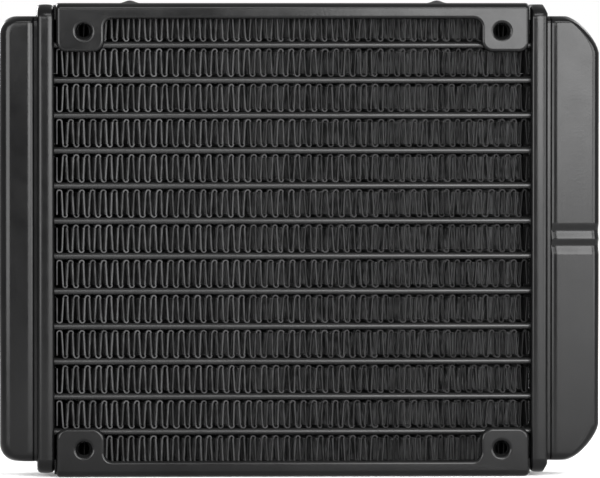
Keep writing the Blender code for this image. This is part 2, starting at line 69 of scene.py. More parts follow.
# Places read from the frame, and the half height over both channels' webs
MIDDLE_Z = (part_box("tube_01")[0].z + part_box("tube_12")[1].z) / 2
HALF_HEIGHT = 59.5 * MM
CHANNEL_MIDDLE_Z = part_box("lower_side_channel")[0].z + HALF_HEIGHT
TAB_TIP = CHANNEL_MIDDLE_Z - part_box("lower_side_channel")[1].z
CHANNEL_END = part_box("lower_side_channel")[1].x
CHANNEL_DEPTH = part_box("lower_side_channel")[1].y
HEADER_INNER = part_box("right_header")[0].x
HEADER_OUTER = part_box("right_header")[1].x
HEADER_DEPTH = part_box("right_header")[1].y
HEADER_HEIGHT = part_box("right_header")[1].z - MIDDLE_Z
HEADER_WIDTH = HEADER_OUTER - HEADER_INNER
TANK_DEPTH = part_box("right_tank")[1].y
TANK_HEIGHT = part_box("right_tank")[1].z - MIDDLE_Z
TANK_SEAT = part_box("right_tank")[0].x - HEADER_OUTER
LEFT_REACH = -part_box("left_tank")[0].x - HEADER_OUTER
RIGHT_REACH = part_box("right_tank")[1].x - HEADER_OUTER
TUBE_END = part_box("tube_01")[1].x
TUBE_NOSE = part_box("tube_01")[1].y
TUBE_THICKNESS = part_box("tube_01")[1].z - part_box("tube_01")[0].z
FIN_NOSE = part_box("fin_strip_01")[1].y
FIN_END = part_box("fin_strip_01")[1].x

# Sheet metal of the channels. The seat gap stands between pieces that are brazed together
SEAT_GAP = 0.3 * MM
CHANNEL_SHEET = 1.0 * MM
CHANNEL_BEND_RADIUS = 1.6 * MM
CHANNEL_EDGE_ROLL = 0.95 * MM
CHANNEL_EDGE_BREAK = 0.12 * MM
CHANNEL_EDGE_SEGMENTS = 5
CUT_EDGE_ANGLE = radians(50.0)
LIP_HEIGHT = 4.0 * MM
LUG_OVERLAP = 0.5 * MM
LUG_GAP = 0.03 * MM
LUG_DROP = 3.2 * MM
LUG_DEPTHS = (6.4 * MM, 9.2 * MM)
NOTCH_SIDE = 47.3 * MM
TAB_CORNER_RADIUS = 3.0 * MM
TAB_END_CORNER_RADIUS = 2.6 * MM
NOTCH_FILLET_RADIUS = 2.0 * MM
FAN_HOLE_OFFSET = 52.5 * MM
HOLE_RADIUS = 1.9 * MM
HOLE_MOUTH_RADIUS = 2.8 * MM
HOLE_MOUTH_DEPTH = 0.75 * MM
COLLAR_RADIUS = 2.95 * MM
COLLAR_LENGTH = 3.2 * MM
COLLAR_EDGE_RADIUS = 0.3 * MM
THREAD_PITCH = 0.79 * MM
THREAD_DEPTH = 0.32 * MM
THREAD_POINTS = (0.12, 0.5, 0.88)  # end of a crest, root, next crest; shares of the pitch
SMALL_LIP = 0.02 * MM
DIMPLE_POSITIONS = (-40.7 * MM, 36.9 * MM)
DIMPLE_RADIUS = 2.7 * MM
DIMPLE_HEIGHT = 0.65 * MM

# Headers and tanks
HEADER_PLATE = 1.0 * MM
HEADER_CORNER_RADIUS = 3.6 * MM
HEADER_EDGE_RADIUS = 0.85 * MM
HEADER_CROWN = 0.30 * MM
HEADER_RINGS = 16
LEFT_HEADER_CHAMFER = (0.4 * MM, 0.9 * MM)
RIGHT_HEADER_CHAMFER = (1.2 * MM, 2.4 * MM)
TANK_WALL = 1.0 * MM
LEFT_TANK_EDGE_RADIUS = 2.9 * MM
RIGHT_TANK_EDGE_RADIUS = 2.0 * MM
TANK_CORNER_RADIUS = 2.0 * MM
# Each tank's end: how far its side draws in, over what length, and how full the curve is
LEFT_TANK_END = (4.5 * MM, 4.5 * MM, 2.0)
RIGHT_TANK_END = (8.3 * MM, 9.2 * MM, 1.42)
# A step leads from a tank's thin rim to its body. Where the tank's end leaves too little room,
# the step takes the given shares of what is left
JOGGLE_DEPTH = 0.8 * MM
JOGGLE_START = 0.75 * MM
JOGGLE_END = 2.7 * MM
JOGGLE_SHORTEST = 0.2 * MM
JOGGLE_TIGHT_START = 0.5
JOGGLE_TIGHT_RUN = 0.4
JOGGLE_LIMIT = 0.98
GROOVE_SPACING = 3.75 * MM
GROOVE_DEPTH = 0.40 * MM
GROOVE_SIDE_DEPTH = 0.14 * MM
GROOVE_SOFTNESS = 0.3 * MM
GROOVE_STEPS = 28

# Tubes and fins
TUBE_WALL = 0.35 * MM
TUBE_SEAM_HALF_WIDTH = 1.6 * MM
TUBE_SEAM_HEIGHT = 0.75 * MM
TUBE_SEAM_CREST = 0.3
FIN_SHEET = 0.11 * MM
FIN_RIM = 0.32 * MM
FIN_RIM_TURN = radians(11.0)
FIN_LEG_COUNT = 86
FIN_BEND_WIDTH = 1.12 * MM
FIN_BEND_HEIGHT = 0.72 * MM
FIN_BEND_STEPS = 8
# Each leg sways sideways at half depth, so that no light comes straight through, and stands a
# little out of place at random, more so towards the right
FIN_SWAY = 1.65 * MM
FIN_END_SWAY = 0.60 * MM
FIN_WANDER = 0.11 * MM
FIN_WANDER_GROWTH = (0.6, 1.2)
FIN_DRIFT_MEMORY = 0.7
FIN_TILT_WANDER = 0.5
FIN_RIM_START = 0.85
# A slat set back beside the last leg, which closes the slit by the right header; it lies in the
# painted header shadow
FIN_TAIL_WIDTH = 1.35 * MM
FIN_TAIL_DEPTH = -5.0 * MM
LOUVRE_TO_TUBE = 0.80 * MM
LOUVRE_PITCH = 1.2 * MM
LOUVRE_WIDTH = 1.12 * MM
LOUVRE_ANGLE = radians(27.0)
LOUVRES_PER_BANK = 6

# Hose barbs
PORT_OFFSET = 15.0 * MM
BARB_BORE_RADIUS = 3.1 * MM
BARB_STEM_RADIUS = 4.0 * MM
BARB_RIDGE_RADIUS = 4.7 * MM
BARB_FLANGE_RADIUS = 5.3 * MM
BARB_FLANGE_THICKNESS = 1.2 * MM
BARB_NECK_LENGTH = 5.0 * MM
BARB_RIDGE_LENGTH = 3.6 * MM
BARB_TIP_LENGTH = 0.8 * MM
BARB_EDGE_RADIUS = 0.25 * MM
BARB_RIDGE_BREAK = 0.1 * MM
BARB_RIDGES = 2

# Numbers of flat facets on round shapes
SMALL_ARC_STEPS = 4
FINE_STEPS = 12
ROUND_STEPS = 48
NOSE_STEPS = 10
SMOOTH_ANGLE = radians(32.0)
WELD_DISTANCE = 0.0001 * MM
CUT_MARGIN = 1.0 * MM

# Camera: the photograph is 600 pixels wide, at this scale on the channels' front face. The
# camera stands a little to the left of the middle and above it
IMAGE_WIDTH_PX = 600
PX_PER_METRE = 3983.0
IMAGE_CENTRE = Vector((1.73 * MM, -CHANNEL_DEPTH, CHANNEL_MIDDLE_Z + 0.28 * MM))
CAMERA_DISTANCE = 2.0
CAMERA_PLACE = Vector((-0.085, -CHANNEL_DEPTH - CAMERA_DISTANCE, CHANNEL_MIDDLE_Z + 0.059))
CAMERA_NEAR = 0.01
SENSOR_WIDTH = 36.0

# ---------------------------------------------------------------- looks

# Colours are linear, dark before light. The scale of a noise counts its features in one metre,
# and its useful values lie in the middle of its range
NOISE_RANGE = (0.3, 0.7)
WHITE = (1.0, 1.0, 1.0, 1.0)

# Paint, on the pressed and bent pieces and on the tubes
PAINT_GREYS = ((0.0015, 0.0015, 0.0016), (0.0035, 0.0035, 0.0036))
PAINT_ROUGHNESS = 0.17
PAINT_SPECULAR = 0.15
TUBE_GREYS = ((0.003, 0.003, 0.0031), (0.006, 0.006, 0.0061))
TUBE_ROUGHNESS = 0.22
TUBE_SPECULAR = 0.26
CLOUD_SCALE = 45.0
GLOSS_SCALE = 160.0
GLOSS_SPREAD = (-0.03, 0.04)
PEEL_SCALE = 1900.0
PEEL_HEIGHT = 0.006 * MM
DUST_SLOPE = (0.48, 0.88)
DUST_ROUGHNESS = 0.40

# Fin coating: its greys, the stretches over which one gives way to another, and its gloss. The
# greys hold painted light and shade: lighter rims over nearly black insides, a fade from left to
# right, and painted shadows by the right header and behind the fan tabs
FIN_LEFT_RIM = ((0.021, 0.021, 0.0212), (0.046, 0.046, 0.0465))
FIN_RIGHT_RIM = ((0.003, 0.003, 0.0031), (0.012, 0.012, 0.0122))
FIN_LEFT_INSIDE = (0.0035, 0.0035, 0.0036)
FIN_RIGHT_INSIDE = ((0.010, 0.010, 0.0102), (0.125, 0.125, 0.127))
FIN_SHADED = (0.0015, 0.0015, 0.0016)
# Stretches of the painted light and shade: the left-to-right fade, the depth of the shaded
# insides, and the shadows by the right header and behind the tabs
FIN_PAINTED_LIGHT_FADE = (-1.2 * FIN_END, 0.7 * FIN_END)
FIN_INSIDE_SHADE_DEPTHS = (FIN_NOSE - 2.2 * MM, FIN_NOSE - 0.2 * MM)
FIN_HEADER_SHADOW = (FIN_END - 2.5 * MM, FIN_END - 1.6 * MM)
FIN_TAB_SHADOW = (NOTCH_SIDE + 1.0 * MM, NOTCH_SIDE + 3.0 * MM)
FIN_LOUVRE_SHARE = 0.5
FIN_CLOUD_SCALE = 420.0
FIN_CLOUD_SPREAD = (0.05, 0.55)
FIN_ROUGHNESS = (0.44, 0.58)
FIN_SPECULAR = 0.05
FIN_GRAIN_SCALE = 2600.0
FIN_GRAIN_HEIGHT = 0.01 * MM

# Bare aluminium of the baffle
MILL_GREYS = ((0.52, 0.52, 0.53), (0.70, 0.70, 0.71))
MILL_ROUGHNESS = (0.32, 0.46)
MILL_LINES = (60.0, 2400.0, 2400.0)
MILL_LINE_HEIGHT = 0.004 * MM

# Studio. The floor glows to the camera alone, more with the distance from its middle
WORLD_FILL = 0.35
WORLD_SEEN = 1.0
FLOOR_HALF_SIZE = 6.0
FLOOR_CLEARANCE = 0.1 * MM
FLOOR_GREYS = ((0.86, 0.86, 0.86), (0.90, 0.90, 0.90))
FLOOR_GRAIN_SCALE = 25.0
FLOOR_ROUGHNESS = 0.8
FLOOR_LIFT = (0.20, 0.70)
FLOOR_LIFT_REACH = (0.10, 0.60)
LIGHT_TARGET = (0.0, 0.0, MIDDLE_Z)
SOFTBOXES = (
    # name, place, width, height, power
    ("key", (0.13, -0.50, 0.175), 0.20, 0.23, 2.8),
    ("low_key", (0.16, -0.50, 0.03), 0.26, 0.05, 0.30),
    ("upper_left", (-0.10, -0.50, 0.185), 0.14, 0.10, 0.42),
    ("left_front", (-0.34, -0.43, 0.14), 0.32, 0.26, 3.1),
    ("right_front", (0.39, -0.39, 0.14), 0.28, 0.26, 2.8),
    ("upper_front", (0.06, -0.42, 0.40), 0.30, 0.10, 1.1),
    ("back_right", (0.50, 0.50, 0.65), 0.40, 0.40, 6.0),
    ("back_left", (-0.35, 0.60, 0.25), 0.30, 0.30, 2.5),
)


# ---------------------------------------------------------------- mesh helpers

def mesh_from(bm, name):
    """Turn a bmesh into a mesh whose faces point outwards."""
    bmesh.ops.recalc_face_normals(bm, faces=bm.faces)
    mesh = bpy.data.meshes.new(name)
    bm.to_mesh(mesh)
    bm.free()
    return mesh


def add_object(name, mesh):
    """Link a mesh to the scene as an object at the origin."""
    obj = bpy.data.objects.new(name, mesh)
    bpy.context.scene.collection.objects.link(obj)
    return obj


def settle(obj):
    """Apply an object's modifiers to its mesh."""
    graph = bpy.context.evaluated_depsgraph_get()
    mesh = bpy.data.meshes.new_from_object(obj.evaluated_get(graph), depsgraph=graph)
    obj.modifiers.clear()
    obj.data = mesh


def apply_boolean(target, bm, operation, solver='EXACT'):
    """Join the bmesh's bodies on to the target, or cut them from it."""
    tool = add_object(target.name + "_tool", mesh_from(bm, target.name + "_tool"))
    modifier = target.modifiers.new("shape", 'BOOLEAN')
    modifier.operation = operation
    modifier.solver = solver
    modifier.object = tool
    settle(target)
    bpy.data.objects.remove(tool, do_unlink=True)


def finish_piece(obj, material, slot, *nodes):
    """Shade a piece, give it its material and let it stand for its CAD nodes."""
    obj.data.materials.clear()
    obj.data.materials.append(material)
    obj.data.shade_smooth()
    obj.data.set_sharp_from_angle(angle=SMOOTH_ANGLE)
    normals = obj.modifiers.new("even_normals", 'WEIGHTED_NORMAL')
    normals.keep_sharp = True
    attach(obj, "root")
    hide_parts(*nodes)


def arc(center, radius, start, end, steps):
    """Points on an arc from start to end degrees, both ends included."""
    angles = [radians(start + (end - start) * i / steps) for i in range(steps + 1)]
    return [(center[0] + radius * cos(a), center[1] + radius * sin(a)) for a in angles]


def rounded_rectangle(half_width, half_height, radius):
    """Outline of a rectangle with round corners, anticlockwise."""
    x = half_width - radius
    y = half_height - radius
    corners = ((x, -y, -90), (x, y, 0), (-x, y, 90), (-x, -y, 180))
    outline = []
    for cx, cy, start in corners:
        outline += arc((cx, cy), radius, start, start + 90, FINE_STEPS)
    return outline


def flat_oval(half_depth, thickness):
    """Outline of a flat tube: two straight sides and two round noses."""
    radius = thickness / 2
    center = half_depth - radius
    return (arc((center, 0.0), radius, -90, 90, NOSE_STEPS)
            + arc((-center, 0.0), radius, 90, 270, NOSE_STEPS))


def add_prism(bm, points, direction):
    """Extrude a flat outline of 3-D points along a direction."""
    face = bm.faces.new([bm.verts.new(point) for point in points])
    grown = bmesh.ops.extrude_face_region(bm, geom=[face])["geom"]
    moved = [item for item in grown if isinstance(item, bmesh.types.BMVert)]
    bmesh.ops.translate(bm, verts=moved, vec=direction)


def add_loft(bm, rings):
    """Skin rings of equal point counts one after the other and cap both ends."""
    loops = [[bm.verts.new(point) for point in ring] for ring in rings]
    for low, high in zip(loops, loops[1:]):
        for i in range(len(low)):
            j = (i + 1) % len(low)
            bm.faces.new((low[i], low[j], high[j], high[i]))
    bm.faces.new(loops[0])
    bm.faces.new(loops[-1])


def add_turned(bm, profile, place, closed):
    """Spin a profile of (radius, height) points round Z and put the body in place."""
    known = set(bm.verts)
    verts = [bm.verts.new((radius, 0.0, height)) for radius, height in profile]
    pairs = list(zip(verts, verts[1:]))
    if closed:
        pairs.append((verts[-1], verts[0]))
    edges = [bm.edges.new(pair) for pair in pairs]
    bmesh.ops.spin(bm, geom=verts + edges, cent=(0.0, 0.0, 0.0), axis=(0.0, 0.0, 1.0),
                   angle=2 * pi, steps=ROUND_STEPS)
    body = [vert for vert in bm.verts if vert not in known]
    bmesh.ops.transform(bm, matrix=place, verts=body)
    bmesh.ops.remove_doubles(bm, verts=body, dist=WELD_DISTANCE)


def arc_inset(distance, radius):
    """How far a round edge has fallen in, at a distance from the end it rounds."""
    if distance >= radius:
        return 0.0
    return radius - sqrt(radius ** 2 - (radius - distance) ** 2)


# ---------------------------------------------------------------- materials

def start_material(name):
    """A node material with its Principled shader and an object-space coordinate."""
    material = bpy.data.materials.new(name)
    material.use_nodes = True
    nodes = material.node_tree.nodes
    shader = nodes["Principled BSDF"]
    coordinate = nodes.new("ShaderNodeTexCoord")
    return material, nodes, material.node_tree.links, shader, coordinate.outputs["Object"]


def noise_node(nodes, links, coordinate, scale, detail=3.0, roughness=0.55):
    """A noise texture in object space; its scale counts features in one metre."""
    noise = nodes.new("ShaderNodeTexNoise")
    noise.inputs["Scale"].default_value = scale
    noise.inputs["Detail"].default_value = detail
    noise.inputs["Roughness"].default_value = roughness
    links.new(coordinate, noise.inputs["Vector"])
    return noise.outputs["Fac"]


def ranged(nodes, links, source, start, end, low=0.0, high=1.0, curve='SMOOTHSTEP'):
    """Run from low to high while the source's value runs from start to end."""
    reach = nodes.new("ShaderNodeMapRange")
    reach.interpolation_type = curve
    for socket, value in (("From Min", start), ("From Max", end), ("To Min", low),
                          ("To Max", high)):
        reach.inputs[socket].default_value = value
    links.new(source, reach.inputs["Value"])
    return reach.outputs["Result"]


def spread_value(nodes, links, source, low, high):
    """Stretch the middle of a noise to run from low to high."""
    return ranged(nodes, links, source, *NOISE_RANGE, low, high, 'LINEAR')


def maths(nodes, links, operation, *values):
    """Combine values, each given as a socket or as a number."""
    node = nodes.new("ShaderNodeMath")
    node.operation = operation
    for socket, value in zip(node.inputs, values):
        if isinstance(value, float):
            socket.default_value = value
        else:
            links.new(value, socket)
    return node.outputs["Value"]


def grey_mix(nodes, links, source, dark, light):
    """A colour between two greys, chosen by the middle of a noise."""
    ramp = nodes.new("ShaderNodeValToRGB")
    for stop, position, grey in zip(ramp.color_ramp.elements, NOISE_RANGE, (dark, light)):
        stop.position = position
        stop.color = (*grey, 1.0)
    links.new(source, ramp.inputs["Fac"])
    return ramp.outputs["Color"]


def add_bump(nodes, links, shader, height, distance):
    """Raise the surface by a height texture."""
    bump = nodes.new("ShaderNodeBump")
    bump.inputs["Strength"].default_value = 1.0
    bump.inputs["Distance"].default_value = distance
    links.new(height, bump.inputs["Height"])
    links.new(bump.outputs["Normal"], shader.inputs["Normal"])


def colour_blend(nodes, links, factor, first, second):
    """Blend two colours, each given as a socket or as red, green and blue."""
    mix = nodes.new("ShaderNodeMix")
    mix.data_type = 'RGBA'
    links.new(factor, mix.inputs[0])
    for socket, colour in ((mix.inputs[6], first), (mix.inputs[7], second)):
        if isinstance(colour, tuple):
            socket.default_value = (*colour, 1.0)
        else:
            links.new(colour, socket)
    return mix.outputs[2]


def satin_paint(name, greys, roughness, specular):
    """Satin black powder coat: faint orange peel, cloudy gloss, a slightly uneven black, and
    faces that look up made duller by settled dust."""
    material, nodes, links, shader, coordinate = start_material(name)
    cloud = noise_node(nodes, links, coordinate, CLOUD_SCALE)
    links.new(grey_mix(nodes, links, cloud, *greys), shader.inputs["Base Color"])
    haze = noise_node(nodes, links, coordinate, GLOSS_SCALE, detail=4.0)
    gloss = spread_value(nodes, links, haze, roughness + GLOSS_SPREAD[0],
                         roughness + GLOSS_SPREAD[1])
    geometry = nodes.new("ShaderNodeNewGeometry")
    normal = nodes.new("ShaderNodeSeparateXYZ")
    links.new(geometry.outputs["Normal"], normal.inputs["Vector"])
    upward = ranged(nodes, links, normal.outputs["Z"], *DUST_SLOPE)
    dusty = maths(nodes, links, 'MULTIPLY_ADD', upward, DUST_ROUGHNESS, gloss)
    links.new(dusty, shader.inputs["Roughness"])
    peel = noise_node(nodes, links, coordinate, PEEL_SCALE, detail=2.0, roughness=0.4)
    add_bump(nodes, links, shader, peel, PEEL_HEIGHT)
    shader.inputs["Specular IOR Level"].default_value = specular
    return material


def fin_coating(name):
    """Thin coating on fin stock, a little different on every louvre, with painted light and
    shade: grey on the outer rims of the fins, most at the left end, nearly black inside, lighter
    inside towards the right end, and painted shadows by the right header and behind the fan tabs."""
    material, nodes, links, shader, coordinate = start_material(name)
    geometry = nodes.new("ShaderNodeNewGeometry")
    cloud = noise_node(nodes, links, coordinate, FIN_CLOUD_SCALE, detail=4.0)
    chance = maths(nodes, links, 'MULTIPLY_ADD', geometry.outputs["Random Per Island"],
                   FIN_LOUVRE_SHARE, spread_value(nodes, links, cloud, *FIN_CLOUD_SPREAD))
    axes = nodes.new("ShaderNodeSeparateXYZ")
    links.new(coordinate, axes.inputs["Vector"])
    depth = maths(nodes, links, 'ABSOLUTE', axes.outputs["Y"])
    # Painted light: the rims are lighter towards the left end and the insides lighter towards the
    # right end
    across = ranged(nodes, links, axes.outputs["X"], *FIN_PAINTED_LIGHT_FADE)
    # Painted shade: the fins turn nearly black deeper inside than this, and stay lighter on their
    # rims
    near_rim = ranged(nodes, links, depth, *FIN_INSIDE_SHADE_DEPTHS)
    header_shadow = ranged(nodes, links, axes.outputs["X"], *FIN_HEADER_SHADOW)
    rims = colour_blend(nodes, links, across, grey_mix(nodes, links, chance, *FIN_LEFT_RIM),
                        grey_mix(nodes, links, chance, *FIN_RIGHT_RIM))
    inside = colour_blend(nodes, links, across, FIN_LEFT_INSIDE,
                          grey_mix(nodes, links, chance, *FIN_RIGHT_INSIDE))
    coat = colour_blend(nodes, links, near_rim, inside, rims)
    # Painted shadow of the right header: near-black over the last legs and the slat beside them
    coat = colour_blend(nodes, links, header_shadow, coat, FIN_LEFT_INSIDE)
    # Painted shadow behind the fan tabs, which shows through their holes
    corner = []
    for axis, middle in (("X", 0.0), ("Z", MIDDLE_Z)):
        away = maths(nodes, links, 'SUBTRACT', axes.outputs[axis], middle)
        away = maths(nodes, links, 'ABSOLUTE', away)
        corner.append(ranged(nodes, links, away, *FIN_TAB_SHADOW))
    tab_shadow = maths(nodes, links, 'MULTIPLY', *corner)
    coat = colour_blend(nodes, links, tab_shadow, coat, FIN_SHADED)
    links.new(coat, shader.inputs["Base Color"])
    gloss = spread_value(nodes, links, cloud, *FIN_ROUGHNESS)
    links.new(gloss, shader.inputs["Roughness"])
    shader.inputs["Specular IOR Level"].default_value = FIN_SPECULAR
    grain = noise_node(nodes, links, coordinate, FIN_GRAIN_SCALE, detail=2.0)
    add_bump(nodes, links, shader, grain, FIN_GRAIN_HEIGHT)
    return material


def mill_aluminium(name):
    """Bare rolled aluminium with fine lines along its length."""
    material, nodes, links, shader, coordinate = start_material(name)
    stretch = nodes.new("ShaderNodeMapping")
    stretch.inputs["Scale"].default_value = MILL_LINES
    links.new(coordinate, stretch.inputs["Vector"])
    lines = noise_node(nodes, links, stretch.outputs["Vector"], 1.0, detail=4.0)
    links.new(grey_mix(nodes, links, lines, *MILL_GREYS), shader.inputs["Base Color"])
    links.new(spread_value(nodes, links, lines, *MILL_ROUGHNESS), shader.inputs["Roughness"])
    add_bump(nodes, links, shader, lines, MILL_LINE_HEIGHT)
    shader.inputs["Metallic"].default_value = 1.0
    return material


# ---------------------------------------------------------------- tubes and fins

def build_tube(node, material):
    """A flat tube with round noses, open from end to end, and a seam bead on both sides."""
    low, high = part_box(node)
    middle = (low.z + high.z) / 2
    bm = bmesh.new()
    for side in (-1, 1):
        foot = middle + side * (TUBE_THICKNESS / 2 - TUBE_WALL / 2)
        crest = middle + side * (TUBE_THICKNESS / 2 + TUBE_SEAM_HEIGHT)
        bead = [(-HEADER_INNER, -TUBE_SEAM_HALF_WIDTH, foot),
                (-HEADER_INNER, TUBE_SEAM_HALF_WIDTH, foot),
                (-HEADER_INNER, TUBE_SEAM_CREST * TUBE_SEAM_HALF_WIDTH, crest),
                (-HEADER_INNER, -TUBE_SEAM_CREST * TUBE_SEAM_HALF_WIDTH, crest)]
        add_prism(bm, bead, (2 * HEADER_INNER, 0.0, 0.0))
    beads = mesh_from(bm, node + "_beads")
    bm = bmesh.new()
    loops = []
    for inset in (0.0, TUBE_WALL):
        outline = flat_oval(TUBE_NOSE - inset, TUBE_THICKNESS - 2 * inset)
        loops.append([bm.verts.new((-TUBE_END, y, middle + z)) for y, z in outline])
    outer, inner = loops
    for i in range(len(outer)):
        j = (i + 1) % len(outer)
        bm.faces.new((outer[i], outer[j], inner[j], inner[i]))
    grown = bmesh.ops.extrude_face_region(bm, geom=bm.faces[:])["geom"]
    moved = [item for item in grown if isinstance(item, bmesh.types.BMVert)]
    bmesh.ops.translate(bm, verts=moved, vec=(2 * TUBE_END, 0.0, 0.0))
    bm.from_mesh(beads)
    bpy.data.meshes.remove(beads)
    tube = add_object("round_nosed_" + node, mesh_from(bm, node + "_fine"))
    finish_piece(tube, material, "black_paint", node)


def bow(reach, y):
    """Sideways shift of a fin leg at a depth: none at both faces, most at half depth."""
    return -reach * (1 - abs(y) / FIN_NOSE)


def bend_section(left, right, edge, side, sheet):
    """Section in XZ of one fold, from the end of one leg round to the end of the next.

    side is 1 for a fold at the top of the strip and -1 for one at the bottom."""
    middle = (left + right) / 2
    half = (right - left) / 2
    rise = FIN_BEND_HEIGHT - sheet / 2
    stub = edge - side * LOUVRE_TO_TUBE
    line = [(left, stub)]
    for i in range(FIN_BEND_STEPS + 1):
        angle = pi - pi * i / FIN_BEND_STEPS
        line.append((middle + half * cos(angle),
                     edge - side * (FIN_BEND_HEIGHT - rise * sin(angle))))
    line.append((right, stub))
    outer, inner = [], []
    for i, (x, z) in enumerate(line):
        before = line[max(i - 1, 0)]
        after = line[min(i + 1, len(line) - 1)]
        run = Vector((after[0] - before[0], after[1] - before[1])).normalized() * sheet / 2
        outer.append((x - run.y, z + run.x))
        inner.append((x + run.y, z - run.x))
    return outer + inner[::-1]


def add_slat(bm, foot, head, reach, depth, turn, width, sheet):
    """One flat slat of a leg, from its foot to its head in XZ, centred at a depth."""
    along = Vector((sin(turn), cos(turn), 0.0)) * width / 2
    across = Vector((cos(turn), -sin(turn), 0.0)) * sheet / 2
    rings = []
    for x, z in (foot, head):
        center = Vector((x + bow(reach, depth), depth, z))
        rings.append([center - along - across, center + along - across,
                      center + along + across, center - along + across])
    add_loft(bm, rings)


def leg_slats(reach, lean):
    """(depth, turn, width, sheet) of each slat of a leg: flat strips in front, middle and
    behind, with two banks of louvres that lean opposite ways between them."""
    skew = -reach / FIN_NOSE
    turn = FIN_RIM_TURN if lean > 0 else skew
    middle_half = LOUVRE_PITCH / 2
    strip = FIN_NOSE - LOUVRES_PER_BANK * LOUVRE_PITCH - middle_half
    slats = [(-FIN_NOSE + strip / 2, turn, strip, FIN_RIM),
             (FIN_NOSE - strip / 2, -turn, strip, FIN_RIM), (0.0, 0.0, LOUVRE_PITCH, FIN_SHEET)]
    for i in range(LOUVRES_PER_BANK):
        depth = middle_half + (i + 0.5) * LOUVRE_PITCH
        slats.append((-depth, lean, LOUVRE_WIDTH, FIN_SHEET))
        slats.append((depth, -lean, LOUVRE_WIDTH, FIN_SHEET))
    return slats


def fold_legs(number):
    """Where the legs of one strip stand: (bottom x, top x, sideways reach) of each."""
    chance = random.Random(number)
    spacing = (2 * FIN_END - FIN_RIM - FIN_SHEET) / (FIN_LEG_COUNT - 1)
    lean = (spacing - FIN_BEND_WIDTH) / 2
    start, growth = FIN_WANDER_GROWTH
    legs = []
    drift = 0.0
    for i in range(FIN_LEG_COUNT):
        fold = (-1) ** (i + number)
        middle = -FIN_END + (FIN_RIM + FIN_SHEET) / 2 + i * spacing
        wander = FIN_WANDER * (start + growth * i / FIN_LEG_COUNT)
        drift = FIN_DRIFT_MEMORY * drift + chance.uniform(-wander, wander)
        if i in (0, FIN_LEG_COUNT - 1):
            drift = 0.0
        tilt = lean * fold + chance.uniform(-FIN_TILT_WANDER, FIN_TILT_WANDER) * wander
        if i == 0:
            tilt = 0.0
        reach = FIN_END_SWAY if i == 0 else FIN_SWAY
        legs.append((middle + drift - tilt, middle + drift + tilt, reach))
    return legs


def build_fin(node, number, material):
    """A strip of folded, louvred sheet between two tubes, with a slat by the right header."""
    low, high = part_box(node)
    bottom = low.z - SEAT_GAP
    top = high.z + SEAT_GAP
    legs = fold_legs(number)
    bm = bmesh.new()
    for i, (foot_x, head_x, reach) in enumerate(legs):
        foot = (foot_x, bottom + LOUVRE_TO_TUBE)
        head = (head_x, top - LOUVRE_TO_TUBE)
        lean = LOUVRE_ANGLE if i > 1 else -reach / FIN_NOSE
        for depth, turn, width, sheet in leg_slats(reach, lean):
            add_slat(bm, foot, head, reach, depth, turn, width, sheet)
    # The slat lies in the painted header shadow and so comes out near-black
    tail_x = HEADER_INNER - LUG_GAP - FIN_TAIL_WIDTH / 2
    add_slat(bm, (tail_x, bottom + LUG_GAP), (tail_x, top - LUG_GAP), 0.0, FIN_TAIL_DEPTH, pi / 2,
             FIN_TAIL_WIDTH, FIN_SHEET)
    for i in range(FIN_LEG_COUNT - 1):
        side = (-1) ** (i + number)
        end = 1 if side > 0 else 0
        left, right = legs[i], legs[i + 1]
        rings = []
        for share, sheet in ((-1.0, FIN_RIM), (-FIN_RIM_START, FIN_SHEET), (0.0, FIN_SHEET),
                             (FIN_RIM_START, FIN_SHEET), (1.0, FIN_RIM)):
            y = share * FIN_NOSE
            section = bend_section(left[end] + bow(left[2], y), right[end] + bow(right[2], y),
                                   top if side > 0 else bottom, side, sheet)
            rings.append([(x, y, z) for x, z in section])
        add_loft(bm, rings)
    fin = add_object("louvred_" + node, mesh_from(bm, node + "_fine"))
    fin.data.materials.append(material)
    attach(fin, "root")
    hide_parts(node)


# ---------------------------------------------------------------- headers and tanks

def placed(points, side, base_x):
    """World points of a piece drawn outwards from base_x, turned over for the left side."""
    return [(side * (base_x + x), side * y, z + MIDDLE_Z) for x, y, z in points]


def header_rings():
    """Sections across a header's width: a shallow crown between two round edges."""
    inner = [HEADER_EDGE_RADIUS * (1 - cos(pi / 2 * i / FINE_STEPS)) for i in range(FINE_STEPS)]
    flat = HEADER_WIDTH - 2 * HEADER_EDGE_RADIUS
    middle = [HEADER_EDGE_RADIUS + flat * i / HEADER_RINGS for i in range(HEADER_RINGS + 1)]
    rings = []
    for x in inner + middle + [HEADER_WIDTH - x for x in reversed(inner)]:
        edge = arc_inset(min(x, HEADER_WIDTH - x), HEADER_EDGE_RADIUS)
        inset = edge + HEADER_CROWN * (2 * x / HEADER_WIDTH - 1) ** 2
        outline = rounded_rectangle(HEADER_DEPTH - inset, HEADER_HEIGHT - inset,
                                    HEADER_CORNER_RADIUS - inset)
        rings.append([(x, y, z) for y, z in outline])
    return rings


